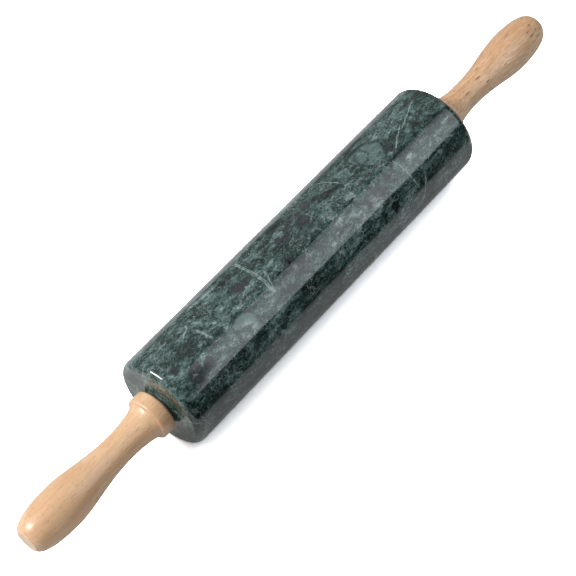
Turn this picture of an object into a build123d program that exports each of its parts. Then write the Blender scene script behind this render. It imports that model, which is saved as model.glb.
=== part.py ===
from build123d import *
import math
import os

# A marble rolling pin: a bored marble barrel turns on a steel rod in two nylon bushings, and a
# turned beech handle screws on each end of the rod by the metal sleeve glued into it. The origin is
# the middle of the barrel on its axis, +X runs along the axis towards the right handle, +Z is up,
# and the barrel rests on a table at Z = -barrel_radius. All sizes are in millimetres.

# Marble barrel
barrel_radius = 30.0
barrel_length = 250.0
barrel_edge_radius = 4.5

# Steel rod
rod_radius = 3.0
thread_radius = 2.7
thread_length = 15.0
thread_tip_chamfer = 0.8
relief_radius = 2.3
relief_width = 1.5
running_clearance = 0.05

# Nylon bushing: a body that tapers into the bore, a trumpet flare and a thin dished rim
bushing_radius = 6.3
bushing_tip_radius = 5.6
bushing_length = 18.0
bushing_tip_chamfer = 0.5
bushing_clearance = 0.05
flare_radius = 7.8
flare_depth = 2.75
rim_radius = 8.1
rim_thickness = 1.2
rim_lip = 0.7
rim_clearance = 0.35
dish_depth = 1.2
dish_floor_width = 1.2

# Mouth of the bore, a cone that clears the bushing's flare
mouth_clearance = 0.1
mouth_radius = flare_radius - mouth_clearance

# Beech handle: collar, cove, waist, bulb and a small flat end
handle_length = 101.5
collar_radius = 13.85
collar_width = 9.3
collar_face_rounding = 1.6
collar_shoulder_rounding = 1.8
waist_radius = 8.95
waist_place = 29.7
bulb_radius = 13.5
bulb_place = 75.0
end_flat_radius = 7.2
handle_clearance = 0.45

# Places of the handle outline's control points, each as shares of the way along and across a stretch
cove_shares = ((0.115, 0.57), (0.545, 1.0))
swell_shares = ((0.44, 0.0), (0.69, 1.0))
crown_shares = ((0.47, 0.0), (0.9, 0.26), (0.98, 0.95))

# Metal sleeve glued into the handle
sleeve_radius = 4.5
sleeve_length = 40.0
sleeve_head_radius = 6.0
sleeve_head_thickness = 1.2
sleeve_guide_depth = 23.0
sleeve_mouth_chamfer = 0.5
glue_groove_depth = 0.4
glue_groove_width = 2.0
glue_groove_count = 4
glue_gap = 0.02
shoulder_clearance = 0.3
socket_spare = 2.0
drill_point_angle = 59.0

# What follows from the sizes above
bore_radius = bushing_radius + bushing_clearance
handle_gap = rim_clearance + rim_thickness + handle_clearance
shank_half_length = barrel_length / 2 + handle_gap + sleeve_guide_depth - shoulder_clearance


def turned(edges):
    """Solid turned about the X axis from a closed outline, x along the axis and y across it."""
    return revolve(make_face(Curve() + edges), axis=Axis.X)


def path(*points):
    """Straight edges through points, in order."""
    return [Line(start, stop) for start, stop in zip(points, points[1:])]


def stretch(start, stop, shares):
    """Control points of a curve from start, at shares of the way to stop along and across."""
    span = (stop[0] - start[0], stop[1] - start[1])
    return [start] + [(start[0] + along * span[0], start[1] + across * span[1]) for along, across in shares]


def marble_barrel():
    """Polished block with rounded end edges, bored through, with a cone at each mouth."""
    half = barrel_length / 2
    block = Rot(0, -90, 0) * Cylinder(barrel_radius, barrel_length)
    block = fillet(block.edges().filter_by(GeomType.CIRCLE), barrel_edge_radius)
    mouth_start = (half - flare_depth - mouth_clearance, bore_radius)
    mouth_end = (half, mouth_radius)
    bore = turned(
        path((0, 0), (0, bore_radius), mouth_start, mouth_end, (half, 0), (0, 0))
    )
    return block - bore - mirror(bore, Plane.YZ)


def axle_rod():
    """Polished shank with a relieved and chamfered thread on each end."""
    shank = Rot(0, 90, 0) * Cylinder(rod_radius, 2 * shank_half_length)
    relief_end = shank_half_length + relief_width
    tip = shank_half_length + thread_length
    end = turned(
        path(
            (0, 0),
            (0, relief_radius),
            (relief_end, relief_radius),
            (relief_end, thread_radius),
            (tip - thread_tip_chamfer, thread_radius),
            (tip, thread_radius - thread_tip_chamfer),
            (tip, 0),
            (0, 0),
        )
    )
    return shank + end + mirror(end, Plane.YZ)


def bushing():
    """Trumpet-shaped bushing, x outwards from the barrel's end face."""
    bore = rod_radius + running_clearance
    rim_face = rim_clearance + rim_thickness
    dish_floor = rim_face - dish_depth
    flare_start = (-flare_depth, bushing_radius)
    flare_end = (rim_clearance, flare_radius)
    inside = path(
        (-bushing_length, bushing_tip_radius - bushing_tip_chamfer),
        (-bushing_length, bore),
        (dish_floor, bore),
        (dish_floor, bore + dish_floor_width),
        (rim_face, rim_radius - rim_lip),
        (rim_face, rim_radius),
        (rim_clearance, rim_radius),
        flare_end,
    )
    flare = TangentArc(flare_start, flare_end, tangent=(1, 0))
    outside = path(
        flare_start,
        (-bushing_length + bushing_tip_chamfer, bushing_tip_radius),
        (-bushing_length, bushing_tip_radius - bushing_tip_chamfer),
    )
    return turned(inside + [flare] + outside)


def handle():
    """Turned handle, x outwards from its collar's face, with a drilled socket for the sleeve."""
    shoulder = (collar_width, collar_radius - collar_shoulder_rounding)
    waist = (waist_place, waist_radius)
    bulb = (bulb_place, bulb_radius)
    flat = (handle_length, end_flat_radius)
    crown = stretch(bulb, flat, crown_shares)
    socket = sleeve_radius + glue_gap
    head = sleeve_head_radius + glue_gap
    floor = sleeve_length + socket_spare
    collar = [
        RadiusArc(
            (0, collar_radius - collar_face_rounding),
            (collar_face_rounding, collar_radius),
            collar_face_rounding,
        ),
        Line(
            (collar_face_rounding, collar_radius),
            (collar_width - collar_shoulder_rounding, collar_radius),
        ),
        RadiusArc(
            (collar_width - collar_shoulder_rounding, collar_radius),
            shoulder,
            collar_shoulder_rounding,
        ),
    ]
    grip = [
        Bezier(*stretch(shoulder, waist, cove_shares), waist),
        Bezier(*stretch(waist, bulb, swell_shares), bulb),
        Bezier(*crown),
        Line(crown[-1], flat),
    ]
    inside = path(
        flat,
        (handle_length, 0),
        (floor + socket / math.tan(math.radians(drill_point_angle)), 0),
        (floor, socket),
        (sleeve_head_thickness, socket),
        (sleeve_head_thickness, head),
        (0, head),
        (0, collar_radius - collar_face_rounding),
    )
    return turned(collar + grip + inside)


def threaded_sleeve():
    """Sleeve with a flush head, a plain guide bore and a threaded end, grooved for the glue."""
    guide = rod_radius + running_clearance
    thread = thread_radius + running_clearance
    body = turned(
        path(
            (0, guide + sleeve_mouth_chamfer),
            (0, sleeve_head_radius),
            (sleeve_head_thickness, sleeve_head_radius),
            (sleeve_head_thickness, sleeve_radius),
            (sleeve_length, sleeve_radius),
            (sleeve_length, thread),
            (sleeve_guide_depth, thread),
            (sleeve_guide_depth, guide),
            (sleeve_mouth_chamfer, guide),
            (0, guide + sleeve_mouth_chamfer),
        )
    )
    ring = Cylinder(sleeve_radius, glue_groove_width) - Cylinder(
        sleeve_radius - glue_groove_depth, glue_groove_width
    )
    pitch = (sleeve_length - sleeve_head_thickness) / (glue_groove_count + 1)
    for groove in range(glue_groove_count):
        place = sleeve_head_thickness + (groove + 1) * pitch
        body -= Pos(place, 0, 0) * Rot(0, 90, 0) * ring
    return body


def at_right(piece, gap):
    """An end piece set gap outwards from the barrel's right end face."""
    return Pos(barrel_length / 2 + gap, 0, 0) * piece


def at_left(piece, gap):
    """The same piece turned about the vertical to the barrel's left end face."""
    return Rot(0, 0, 180) * at_right(piece, gap)


pieces = {"marble_barrel": marble_barrel(), "axle_rod": axle_rod()}
for side, place in (("left", at_left), ("right", at_right)):
    pieces[f"{side}_bushing"] = place(bushing(), 0)
    pieces[f"{side}_handle"] = place(handle(), handle_gap)
    pieces[f"{side}_threaded_sleeve"] = place(threaded_sleeve(), handle_gap)

os.makedirs("parts", exist_ok=True)
for node, solid in pieces.items():
    export_step(solid, f"parts/{node}.step")
    print(node, round(solid.volume), "mm3", solid.bounding_box())
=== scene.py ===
# %% [markdown]
# # A marble rolling pin, dressed for its picture
#
# The real pin is a heavy bored barrel of polished green marble, a steel rod through it in two white
# nylon bushings, and a turned beech handle on each end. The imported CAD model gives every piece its
# place. This lesson builds a smoother copy of each piece, gives it a finish made of nodes, and
# lights it as a studio would.

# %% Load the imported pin
import math

import bpy
from mathutils import Matrix, Vector
from mathutils.geometry import interpolate_bezier


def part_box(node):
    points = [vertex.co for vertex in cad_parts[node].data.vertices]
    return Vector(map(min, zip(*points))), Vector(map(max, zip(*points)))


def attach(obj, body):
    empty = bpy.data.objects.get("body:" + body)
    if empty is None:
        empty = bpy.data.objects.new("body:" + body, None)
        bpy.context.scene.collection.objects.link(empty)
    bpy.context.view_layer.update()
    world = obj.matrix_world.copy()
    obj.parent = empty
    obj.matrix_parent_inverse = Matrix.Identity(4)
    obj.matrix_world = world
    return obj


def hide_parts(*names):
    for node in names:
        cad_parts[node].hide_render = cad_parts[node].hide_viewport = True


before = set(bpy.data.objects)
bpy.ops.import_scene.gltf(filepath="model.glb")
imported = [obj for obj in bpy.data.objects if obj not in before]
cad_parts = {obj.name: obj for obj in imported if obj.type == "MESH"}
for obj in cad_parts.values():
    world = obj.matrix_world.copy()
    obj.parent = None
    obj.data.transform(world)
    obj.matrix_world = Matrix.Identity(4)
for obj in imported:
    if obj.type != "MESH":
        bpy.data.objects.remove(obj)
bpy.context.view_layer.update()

# %% [markdown]
# Blender measures in metres, but a kitchen tool is easier to read in millimetres, so sizes are
# written in millimetres and scaled where a mesh is made. The ends of barrel and handles are measured
# on the CAD model.

# %% Sizes shared by the pieces
MM = 0.001
barrel_low, barrel_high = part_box("marble_barrel")
HALF_BARREL = barrel_high.x / MM
BARREL_RADIUS = barrel_high.z / MM
handle_low, handle_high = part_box("right_handle")
HANDLE_START = handle_low.x / MM
HANDLE_LENGTH = (handle_high.x - handle_low.x) / MM
print(f"barrel {2 * HALF_BARREL:.0f} mm long, {2 * BARREL_RADIUS:.0f} mm across")
print(f"handles start {HANDLE_START:.1f} mm out and are {HANDLE_LENGTH:.0f} mm long")

# %% [markdown]
# ## Camera
#
# The picture was taken from above the near handle with a long lens, so the pin runs from the lower
# left to the upper right with little perspective. The camera stands a little under a metre away.
# The lens length comes from the pin's size in the frame. The pin sits off the middle of the frame,
# so the camera is turned a little at a time until the world's origin falls on the wanted pixel.

# %% Camera
FRAME_PIXELS = 576
SENSOR = 36.0
FOCAL_PIXELS = 1654
CAMERA_DISTANCE = 0.955
CAMERA_AZIMUTH = -141.49
CAMERA_ELEVATION = 57.15
CAMERA_ROLL = -0.11
PIN_MIDDLE_PIXEL = (304.88, 258.74)
NEAREST_SEEN, FARTHEST_SEEN = 0.05, 30.0
AIMING_STEPS = 30


def direction(azimuth, elevation):
    """Unit vector from its angle round the vertical, from +X, and its angle above the floor."""
    around, above = math.radians(azimuth), math.radians(elevation)
    return Vector(
        (math.cos(above) * math.cos(around), math.cos(above) * math.sin(around), math.sin(above))
    )


def aimed_camera():
    """Camera whose picture holds the world's origin at PIN_MIDDLE_PIXEL."""
    data = bpy.data.cameras.new("picture_camera")
    data.sensor_width = SENSOR
    data.lens = FOCAL_PIXELS / FRAME_PIXELS * SENSOR
    data.clip_start, data.clip_end = NEAREST_SEEN, FARTHEST_SEEN
    camera = bpy.data.objects.new("picture_camera", data)
    bpy.context.scene.collection.objects.link(camera)
    to_pin = -direction(CAMERA_AZIMUTH, CAMERA_ELEVATION)
    across = (PIN_MIDDLE_PIXEL[0] - FRAME_PIXELS / 2) / FOCAL_PIXELS
    down = (PIN_MIDDLE_PIXEL[1] - FRAME_PIXELS / 2) / FOCAL_PIXELS
    roll = math.radians(CAMERA_ROLL)
    forward = to_pin.copy()
    for _ in range(AIMING_STEPS):
        level = forward.cross(Vector((0, 0, 1))).normalized()
        below = forward.cross(level)
        right = math.cos(roll) * level + math.sin(roll) * below
        lower = math.cos(roll) * below - math.sin(roll) * level
        depth = to_pin.dot(forward)
        forward += (to_pin.dot(right) / depth - across) * right
        forward += (to_pin.dot(lower) / depth - down) * lower
        forward.normalize()
    turn = Matrix((right, -lower, -forward)).transposed()
    camera.matrix_world = Matrix.Translation(-to_pin * CAMERA_DISTANCE) @ turn.to_4x4()
    return camera


camera = aimed_camera()
bpy.context.scene.camera = camera
print("lens", round(camera.data.lens, 1), "mm, camera at", [round(v, 3) for v in camera.location])

# %% [markdown]
# ## Tools for meshes
#
# Almost everything on a rolling pin is turned: the work spins on a lathe while a tool follows an
# outline. Blender's Spin does the same. A vertex is extruded along the outline, and the line is spun
# round the pin's axis. That leaves doubled vertices, so they are merged, and the faces are turned
# outwards. Smooth shading tilts a wide face towards the small rounding beside it, which bends a
# reflection where the real surface is straight. A Weighted Normal modifier lets the widest faces
# decide instead.

# %% Selecting
def only(piece):
    """Make one object the selected and active one."""
    bpy.ops.object.select_all(action="DESELECT")
    piece.select_set(True)
    bpy.context.view_layer.objects.active = piece


def pick(piece, kind, wanted):
    """Select the faces, edges or vertices of a mesh for which wanted(element) is true."""
    bpy.ops.object.mode_set(mode="EDIT")
    bpy.ops.mesh.select_mode(type=kind)
    bpy.ops.mesh.select_all(action="DESELECT")
    bpy.ops.object.mode_set(mode="OBJECT")
    elements = {"VERT": piece.data.vertices, "EDGE": piece.data.edges, "FACE": piece.data.polygons}
    for element in elements[kind]:
        element.select = wanted(element)
    bpy.ops.object.mode_set(mode="EDIT")


# %% Turning an outline
SHARP_ANGLE = 35
MERGE_GAP = 0.004


def turned(name, outline, steps):
    """Piece turned about the X axis from an outline of (along, radius) points in millimetres."""
    bpy.ops.mesh.primitive_plane_add(size=MM)
    piece = bpy.context.object
    piece.name = piece.data.name = name
    only(piece)
    bpy.ops.object.mode_set(mode="EDIT")
    bpy.ops.mesh.select_mode(type="VERT")
    bpy.ops.mesh.select_all(action="SELECT")
    bpy.ops.mesh.merge(type="CENTER")
    points = [Vector((along, 0, radius)) * MM for along, radius in outline]
    bpy.ops.transform.translate(value=points[0])
    for before, after in zip(points, points[1:]):
        bpy.ops.mesh.extrude_vertices_move(TRANSFORM_OT_translate={"value": after - before})
    bpy.ops.mesh.select_all(action="SELECT")
    bpy.ops.mesh.spin(steps=steps, angle=math.tau, center=(0, 0, 0), axis=(1, 0, 0))
    tidy(piece)
    return piece


def tidy(piece):
    """Merge doubled vertices, turn the faces outwards, and smooth all but the sharp edges."""
    bpy.ops.mesh.select_all(action="SELECT")
    bpy.ops.mesh.remove_doubles(threshold=MERGE_GAP * MM)
    bpy.ops.mesh.normals_make_consistent(inside=False)
    bpy.ops.object.mode_set(mode="OBJECT")
    only(piece)
    bpy.ops.object.shade_smooth_by_angle(angle=math.radians(SHARP_ANGLE))
    print(piece.name, len(piece.data.polygons), "faces")


def level_wide_faces(piece):
    """Shade wide faces flat, so that only the narrow faces of a rounded edge carry its turn."""
    only(piece)
    bpy.ops.object.modifier_add(type="WEIGHTED_NORMAL")
    piece.modifiers[-1].keep_sharp = True
    bpy.ops.object.modifier_apply(modifier=piece.modifiers[-1].name)


# %% [markdown]
# A lathe's outline is mostly curves. `curve` is shaped by two points given as shares of the way
# along and across, so it keeps its character if its ends move. `rounded` takes a corner off, close
# to a quarter of a circle.

# %% Curved parts of an outline
TO_CORNER, TO_END = 0.55, 0.45


def curve(start, stop, shares, steps):
    """Points of a curve from start to stop, without start, shaped by two points given as shares."""
    span = (stop[0] - start[0], stop[1] - start[1])
    knots = [start] + [(start[0] + a * span[0], start[1] + b * span[1]) for a, b in shares] + [stop]
    ends = [Vector((along, 0, radius)) for along, radius in knots]
    return [(p.x, p.z) for p in interpolate_bezier(*ends, steps + 1)][1:]


def rounded(corner, start, stop, steps=6):
    """Points of a rounded corner that leaves start and reaches stop, start included."""
    toward = [
        (corner[0] * TO_CORNER + end[0] * TO_END, corner[1] * TO_CORNER + end[1] * TO_END)
        for end in (start, stop)
    ]
    ends = [Vector((p[0], 0, p[1])) for p in (start, *toward, stop)]
    return [(p.x, p.z) for p in interpolate_bezier(*ends, steps + 1)]


# %% [markdown]
# ## The marble barrel
#
# The barrel is sawn from a block, turned, bored through and polished. A cylinder primitive is the
# sawn block. Its end faces are inset to draw the mouth of the bore, pushed inwards to cut the
# cone that clears the bushing, and bridged to each other to bore it through. A bevel then rounds
# the two end edges as the polisher does, because a sharp marble edge would chip.

# %% Barrel mesh
BARREL_STEPS, EDGE_STEPS = 192, 12
EDGE_ROUNDING = 4.5
BORE_RADIUS = 6.35
MOUTH_RADIUS = 7.7
MOUTH_DEPTH = 2.85
ALONG_AXIS = 0.99
CLOSE = 0.05


def at_end(face):
    """True for a face that looks along the pin's axis."""
    return abs(face.normal.x) > ALONG_AXIS


def cap(face):
    """True for the many-sided face that closes an end of the bore."""
    return at_end(face) and len(face.vertices) == BARREL_STEPS


def rim(edge):
    """True for an edge of the circle round an end face."""
    ends = [barrel.data.vertices[v].co for v in edge.vertices]
    one_end = ends[0].x * ends[1].x > 0
    at_face = all(abs(abs(p.x) - HALF_BARREL * MM) < CLOSE * MM for p in ends)
    return one_end and at_face and all(abs(p.yz.length - BARREL_RADIUS * MM) < CLOSE * MM for p in ends)


bpy.ops.object.select_all(action="DESELECT")
bpy.ops.mesh.primitive_cylinder_add(
    vertices=BARREL_STEPS,
    radius=BARREL_RADIUS * MM,
    depth=2 * HALF_BARREL * MM,
    rotation=(0, math.radians(90), 0),
)
barrel = bpy.context.object
barrel.name = barrel.data.name = "polished_marble_barrel"
bpy.ops.object.transform_apply(location=True, rotation=True, scale=True)
pick(barrel, "FACE", at_end)
bpy.ops.mesh.inset(thickness=(BARREL_RADIUS - MOUTH_RADIUS) * MM, use_even_offset=True)
bpy.ops.mesh.inset(thickness=(MOUTH_RADIUS - BORE_RADIUS) * MM, use_even_offset=True)
bpy.ops.object.mode_set(mode="OBJECT")
for side in (-1, 1):
    pick(barrel, "FACE", lambda face: cap(face) and face.normal.x * side > 0)
    bpy.ops.transform.translate(value=(-side * MOUTH_DEPTH * MM, 0, 0))
    bpy.ops.object.mode_set(mode="OBJECT")
pick(barrel, "FACE", cap)
bpy.ops.mesh.bridge_edge_loops()
bpy.ops.object.mode_set(mode="OBJECT")
pick(barrel, "EDGE", rim)
bpy.ops.mesh.bevel(offset=EDGE_ROUNDING * MM, segments=EDGE_STEPS, profile=0.5, affect="EDGES")
tidy(barrel)
level_wide_faces(barrel)
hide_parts("marble_barrel")
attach(barrel, "barrel")

# %% [markdown]
# ## The beech handles
#
# Each handle is turned from one stick of beech: a flat-faced collar with soft edges, a cove that
# sweeps down to the waist, and a bulb that fills the palm and ends in a small flat. Three curves
# carry that outline, joined where they are level with the axis, so the hand feels no ridge.
# The socket for the metal sleeve is drilled from the collar and ends in the drill's point.

# %% Handle meshes
COLLAR_RADIUS, COLLAR_WIDTH = 13.85, 9.3
FACE_ROUNDING, SHOULDER_ROUNDING = 1.6, 1.8
SHOULDER = (COLLAR_WIDTH, COLLAR_RADIUS - SHOULDER_ROUNDING)
WAIST = (29.7, 8.95)
BULB = (75.0, 13.5)
FLAT_RADIUS = 7.2
CROWN_END = (101.0, 7.6)
CROWN_CORNER = (101.35, 7.4)
SOCKET_RADIUS, SOCKET_FLOOR, SOCKET_POINT = 4.52, 42.0, 44.7
HEAD_RADIUS, HEAD_DEPTH = 6.02, 1.2
COVE_SHARES, COVE_STEPS = ((0.115, 0.57), (0.545, 1.0)), 20
SWELL_SHARES, SWELL_STEPS = ((0.44, 0.0), (0.69, 1.0)), 24
CROWN_SHARES, CROWN_STEPS = ((0.476, 0.0), (0.915, 0.285)), 26
HANDLE_STEPS = 112


def handle_outline():
    """Outline of a handle from its socket's point, round the outside, to the middle of its end."""
    socket = [
        (SOCKET_POINT, 0),
        (SOCKET_FLOOR, SOCKET_RADIUS),
        (HEAD_DEPTH, SOCKET_RADIUS),
        (HEAD_DEPTH, HEAD_RADIUS),
        (0, HEAD_RADIUS),
    ]
    face_end = (0, COLLAR_RADIUS - FACE_ROUNDING)
    collar = rounded((0, COLLAR_RADIUS), face_end, (FACE_ROUNDING, COLLAR_RADIUS))
    shoulder_start = (COLLAR_WIDTH - SHOULDER_ROUNDING, COLLAR_RADIUS)
    shoulder = rounded((COLLAR_WIDTH, COLLAR_RADIUS), shoulder_start, SHOULDER)
    cove = curve(SHOULDER, WAIST, COVE_SHARES, COVE_STEPS)
    swell = curve(WAIST, BULB, SWELL_SHARES, SWELL_STEPS)
    crown = curve(BULB, CROWN_END, CROWN_SHARES, CROWN_STEPS)
    end = rounded(CROWN_CORNER, CROWN_END, (HANDLE_LENGTH, FLAT_RADIUS))[1:]
    return socket + collar + shoulder + cove + swell + crown + end + [(HANDLE_LENGTH, 0)]


def on_side(piece, side, place):
    """Slide an end piece out along the axis, turned about for the left side, in its mesh."""
    only(piece)
    piece.location.x = side * place * MM
    piece.rotation_euler.z = 0 if side > 0 else math.pi
    bpy.ops.object.transform_apply(location=True, rotation=True, scale=True)


SIDES = {"left": -1, "right": 1}
handles = {}
for side, sign in SIDES.items():
    piece = turned(f"{side}_beech_handle", handle_outline(), HANDLE_STEPS)
    on_side(piece, sign, HANDLE_START)
    level_wide_faces(piece)
    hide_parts(f"{side}_handle")
    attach(piece, f"{side}_handle")
    handles[side] = piece

# %% [markdown]
# ## The steel rod
#
# The rod is one length of polished bar. Each end is relieved and threaded for its handle's sleeve.
# A thread is a ridge that climbs round the bar, one turn for each millimetre. The end is turned
# with many fine rings, and each point is moved out or in by where it stands along the ridge, as the
# thread-cutting tool of a lathe would leave it.

# %% Cutting a thread
PITCH = 1.0
RINGS_A_TURN = 12
THREAD_STEPS = 48
THREAD_FADE = 0.8
RIDGE_TOP, RIDGE_SLOPE = 1.5, 4.0


def thread_rings(start, stop, radius):
    """Outline of a plain stretch with rings close enough to carry a thread."""
    count = round((stop - start) / PITCH * RINGS_A_TURN)
    return [(start + (stop - start) * step / count, radius) for step in range(count + 1)]


def cut_thread(piece, start, stop, root, crest):
    """Move the points between two places along the axis out and in along a helical ridge."""
    for vertex in piece.data.vertices:
        along, radius = abs(vertex.co.x) / MM, vertex.co.yz.length / MM
        if not (start < along < stop and root - CLOSE < radius < crest + CLOSE):
            continue
        angle = math.atan2(vertex.co.z, vertex.co.y) / math.tau
        turn = (vertex.co.x / MM / PITCH - angle) % 1.0
        ridge = min(1.0, max(0.0, RIDGE_TOP - abs(turn - 0.5) * RIDGE_SLOPE))
        fade = min(1.0, (along - start) / THREAD_FADE, (stop - along) / THREAD_FADE)
        wanted = root + (crest - root) * (1 - fade * (1 - ridge))
        vertex.co.yz *= wanted / radius
    piece.data.update()


# %% Rod mesh
SHANK_HALF, RELIEF_END, TIP = 149.7, 151.2, 164.7
SHANK_RADIUS, THREAD_ROOT, THREAD_CREST, RELIEF_RADIUS = 3.0, 2.42, 2.97, 2.3
TIP_RADIUS, TIP_START = 1.9, 163.9
SHANK_EDGE = 0.15

right_half = [
    (SHANK_HALF - SHANK_EDGE, SHANK_RADIUS),
    (SHANK_HALF, SHANK_RADIUS - SHANK_EDGE),
    (SHANK_HALF, RELIEF_RADIUS),
    (RELIEF_END, RELIEF_RADIUS),
    *thread_rings(RELIEF_END, TIP_START, THREAD_CREST),
    (TIP, TIP_RADIUS),
    (TIP, 0),
]
left_half = [(-along, radius) for along, radius in reversed(right_half)]
rod = turned("polished_axle_rod", left_half + right_half, THREAD_STEPS)
cut_thread(rod, RELIEF_END, TIP_START, THREAD_ROOT, THREAD_CREST)
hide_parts("axle_rod")
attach(rod, "axle")

# %% [markdown]
# ## The nylon bushings
#
# A bushing is the bearing: a moulded sleeve that is pressed into each mouth of the barrel and opens
# into a trumpet with a thin dished rim, which keeps the handle off the stone. It is one outline
# turned round the axis. A moulded edge is never knife sharp, so each edge of the rim is rounded.

# %% Bushing meshes
BUSHING_BORE = 3.05
TIP_PLACE, TIP_RADIUS_OUT, TIP_EDGE = -18.0, 5.6, 0.5
FLARE_START, FLARE_END = (-2.75, 6.3), (0.35, 7.8)
RIM_FACE, RIM_RADIUS, LIP = 1.55, 8.1, 0.7
DISH_FLOOR, DISH_WIDTH = 0.35, 1.2
BORE_EDGE, RIM_EDGE, DISH_EDGE, LIP_EDGE = 0.2, 0.3, 0.15, 0.1
FLARE_SHARES, FLARE_STEPS = ((0.33, 0.46), (0.66, 1.0)), 10
LIP_STEPS, RIM_STEPS, BUSHING_STEPS = 3, 4, 72


def bushing_outline():
    """Outline of a bushing from the bore's inner end, out over the dish and back over the flare."""
    tip = [
        (TIP_PLACE, TIP_RADIUS_OUT - TIP_EDGE),
        (TIP_PLACE, BUSHING_BORE + BORE_EDGE),
        (TIP_PLACE + BORE_EDGE, BUSHING_BORE),
    ]
    dish = [
        (DISH_FLOOR - BORE_EDGE, BUSHING_BORE),
        (DISH_FLOOR, BUSHING_BORE + BORE_EDGE),
        (DISH_FLOOR, BUSHING_BORE + DISH_WIDTH - RIM_EDGE),
        (DISH_FLOOR + LIP_EDGE, BUSHING_BORE + DISH_WIDTH + DISH_EDGE),
        (RIM_FACE - LIP_EDGE, RIM_RADIUS - LIP - LIP_EDGE),
    ]
    lip_end = (RIM_FACE, RIM_RADIUS - LIP + DISH_EDGE)
    lip = rounded((RIM_FACE, RIM_RADIUS - LIP), dish[-1], lip_end, LIP_STEPS)[1:]
    face_end, side_end = (RIM_FACE, RIM_RADIUS - RIM_EDGE), (RIM_FACE - RIM_EDGE, RIM_RADIUS)
    outer = rounded((RIM_FACE, RIM_RADIUS), face_end, side_end, RIM_STEPS)
    under_start = (FLARE_END[0] + BORE_EDGE, RIM_RADIUS)
    under = rounded((FLARE_END[0], RIM_RADIUS), under_start, FLARE_END, RIM_STEPS)
    flare = curve(FLARE_END, FLARE_START, FLARE_SHARES, FLARE_STEPS)
    body = [(TIP_PLACE + TIP_EDGE, TIP_RADIUS_OUT), (TIP_PLACE, TIP_RADIUS_OUT - TIP_EDGE)]
    return tip + dish + lip + outer + under + flare + body


bushings = {}
for side, sign in SIDES.items():
    piece = turned(f"{side}_nylon_bushing", bushing_outline(), BUSHING_STEPS)
    on_side(piece, sign, HALF_BARREL)
    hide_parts(f"{side}_bushing")
    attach(piece, f"{side}_bushing")
    bushings[side] = piece

# %% [markdown]
# ## The threaded sleeves
#
# Beech is too soft to hold a thread that is undone often, so a metal sleeve is glued into each
# handle. Its flush head stops it from being driven too deep, four grooves hold the glue, a plain
# guide bore takes the rod's shank, and the thread is at the far end.

# %% Sleeve meshes
SLEEVE_LENGTH, SLEEVE_RADIUS = 40.0, 4.5
SLEEVE_HEAD, SLEEVE_HEAD_RADIUS = 1.2, 6.0
GUIDE_RADIUS, GUIDE_DEPTH, INNER_ROOT, INNER_CREST = 3.05, 23.0, 2.5, 3.05
GROOVES, GROOVE_WIDTH, GROOVE_DEPTH = 4, 2.0, 0.4
SLEEVE_EDGE, MOUTH_CHAMFER, GROOVE_FLOOR_SHARE = 0.25, 0.5, 0.8


def sleeve_outline():
    """Outline of a sleeve from its mouth over the head and grooves, and back along the thread."""
    outside = [
        (0, GUIDE_RADIUS + MOUTH_CHAMFER),
        (0, SLEEVE_HEAD_RADIUS - SLEEVE_EDGE),
        (SLEEVE_EDGE, SLEEVE_HEAD_RADIUS),
        (SLEEVE_HEAD, SLEEVE_HEAD_RADIUS),
        (SLEEVE_HEAD, SLEEVE_RADIUS),
    ]
    pitch = (SLEEVE_LENGTH - SLEEVE_HEAD) / (GROOVES + 1)
    floor_half = GROOVE_FLOOR_SHARE
    groove = ((-1, 0), (-floor_half, GROOVE_DEPTH), (floor_half, GROOVE_DEPTH), (1, 0))
    for place_on in range(1, GROOVES + 1):
        middle = SLEEVE_HEAD + place_on * pitch
        for along, depth in groove:
            outside.append((middle + along * GROOVE_WIDTH / 2, SLEEVE_RADIUS - depth))
    tail = [(SLEEVE_LENGTH - SLEEVE_EDGE, SLEEVE_RADIUS), (SLEEVE_LENGTH, SLEEVE_RADIUS - SLEEVE_EDGE)]
    thread = thread_rings(GUIDE_DEPTH, SLEEVE_LENGTH, INNER_CREST)[::-1]
    guide = [(GUIDE_DEPTH, GUIDE_RADIUS), (MOUTH_CHAMFER, GUIDE_RADIUS), outside[0]]
    return outside + tail + thread + guide


sleeves = {}
for side, sign in SIDES.items():
    piece = turned(f"{side}_brass_sleeve", sleeve_outline(), THREAD_STEPS)
    on_side(piece, sign, HANDLE_START)
    start, stop = HANDLE_START + GUIDE_DEPTH, HANDLE_START + SLEEVE_LENGTH
    cut_thread(piece, start, stop, INNER_ROOT, INNER_CREST)
    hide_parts(f"{side}_threaded_sleeve")
    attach(piece, f"{side}_handle")
    sleeves[side] = piece

# %% [markdown]
# ## Tools for finishes
#
# A finish is a small machine of nodes. Placing nodes one by one in Python is wordy, so `put` adds a
# node, sets it up and wires its inputs in one line. A socket knows which tree it belongs to, so a
# node joins the tree of what feeds it, and only the first nodes of a tree have to be told.

# %% Placing nodes
NODES_A_ROW, NODE_SPACING = 12, (180, -260)


def blank_tree(owner):
    """Emptied node tree of a material, a lamp or a world."""
    owner.use_nodes = True
    owner.node_tree.nodes.clear()
    return owner.node_tree


def is_socket(value):
    """True for a node's socket, false for a plain number or colour."""
    return isinstance(value, bpy.types.NodeSocket)


def feed(node, inputs):
    """Wire sockets into a node's inputs, or set the inputs that are given as plain values."""
    for name, value in inputs.items():
        if is_socket(value):
            node.id_data.links.new(value, node.inputs[name])
        else:
            node.inputs[name].default_value = value
    return node


def put(kind, inputs, tree=None, **settings):
    """Add a shader node to the tree that its inputs come from, set it up, and feed its inputs."""
    if tree is None:
        tree = next(value.id_data for value in inputs.values() if is_socket(value))
    node = tree.nodes.new("ShaderNode" + kind)
    for name, value in settings.items():
        setattr(node, name, value)
    row, column = divmod(len(tree.nodes), NODES_A_ROW)
    node.location = (NODE_SPACING[0] * column, NODE_SPACING[1] * row)
    return feed(node, inputs)


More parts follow.
